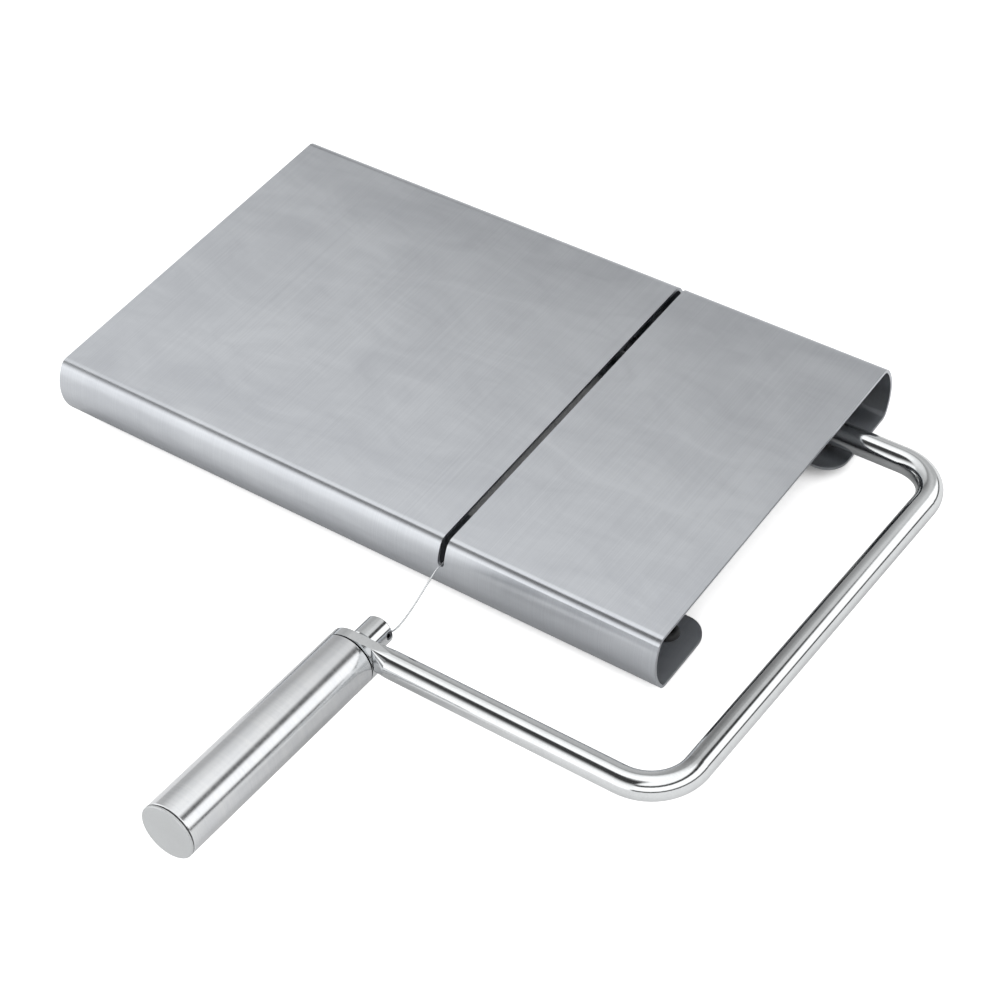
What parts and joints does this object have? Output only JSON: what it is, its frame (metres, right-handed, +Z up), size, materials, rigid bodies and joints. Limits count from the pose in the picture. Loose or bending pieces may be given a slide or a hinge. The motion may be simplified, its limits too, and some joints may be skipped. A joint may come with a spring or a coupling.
{
  "type": "cheese slicer board",
  "caption": "Folded stainless board with a cross slot and a hinged bent rod that carries a cutting wire and a turning handle, for slicing cheese.",
  "frame": {"origin": "on the table, under the middle of the slicer's own bounding box at rest", "axes": "+X along the board towards the bow's side leg, -Y towards the handle, +Z up from the table"},
  "size_m": [0.2506, 0.2514, 0.0358],
  "materials": {
    "board_steel": "brushed along the width, satin",
    "bow_steel": "polished",
    "handle_steel": "fine satin",
    "cap_steel": "matt turned",
    "wire_steel": "bright drawn",
    "screw_steel": "dark",
    "plain_steel": "machined",
    "foot_rubber": "matt",
    "bearing_nylon": "moulded"
  },
  "bodies": {
    "board": {"board_shell": "board_steel", "foot_front_left": "foot_rubber", "foot_front_right": "foot_rubber", "foot_back_left": "foot_rubber", "foot_back_right": "foot_rubber", "bearing_block_inner": "bearing_nylon", "bearing_block_outer": "bearing_nylon", "bearing_screws_inner": "plain_steel", "bearing_screws_outer": "plain_steel"},
    "bow": {"bow_rod": "bow_steel", "cross_pin_inner": "plain_steel", "cross_pin_outer": "plain_steel"},
    "handle": {"handle_tube": "handle_steel", "handle_insert": "plain_steel", "handle_end_cap": "cap_steel"},
    "tensioner": {"wire_boss": "bow_steel", "clamp_screw": "screw_steel", "tension_stud": "plain_steel", "cutting_wire": "wire_steel", "wire_bead": "wire_steel"}
  },
  "joints": [
    {"name": "bow_lift", "type": "hinge", "parent": "board", "child": "bow", "pos_m": [-0.0173, 0.10279, 0.0108], "axis": [-1, 0, 0], "range_deg": [0, 158]},
    {"name": "handle_turn", "type": "hinge", "parent": "bow", "child": "handle", "pos_m": [0.0206, -0.05026, 0.02058], "axis": [0, -0.9957, 0.0924], "range_deg": [0, 720]},
    {"name": "wire_tension", "type": "slide", "parent": "bow", "child": "tensioner", "axis": [0, 0.9957, -0.0924], "range_m": [0, 0.00141]}
  ],
  "couplings": [
    {"joint": "wire_tension", "follows": "handle_turn", "m_per_rad": 0.00011141}
  ]
}
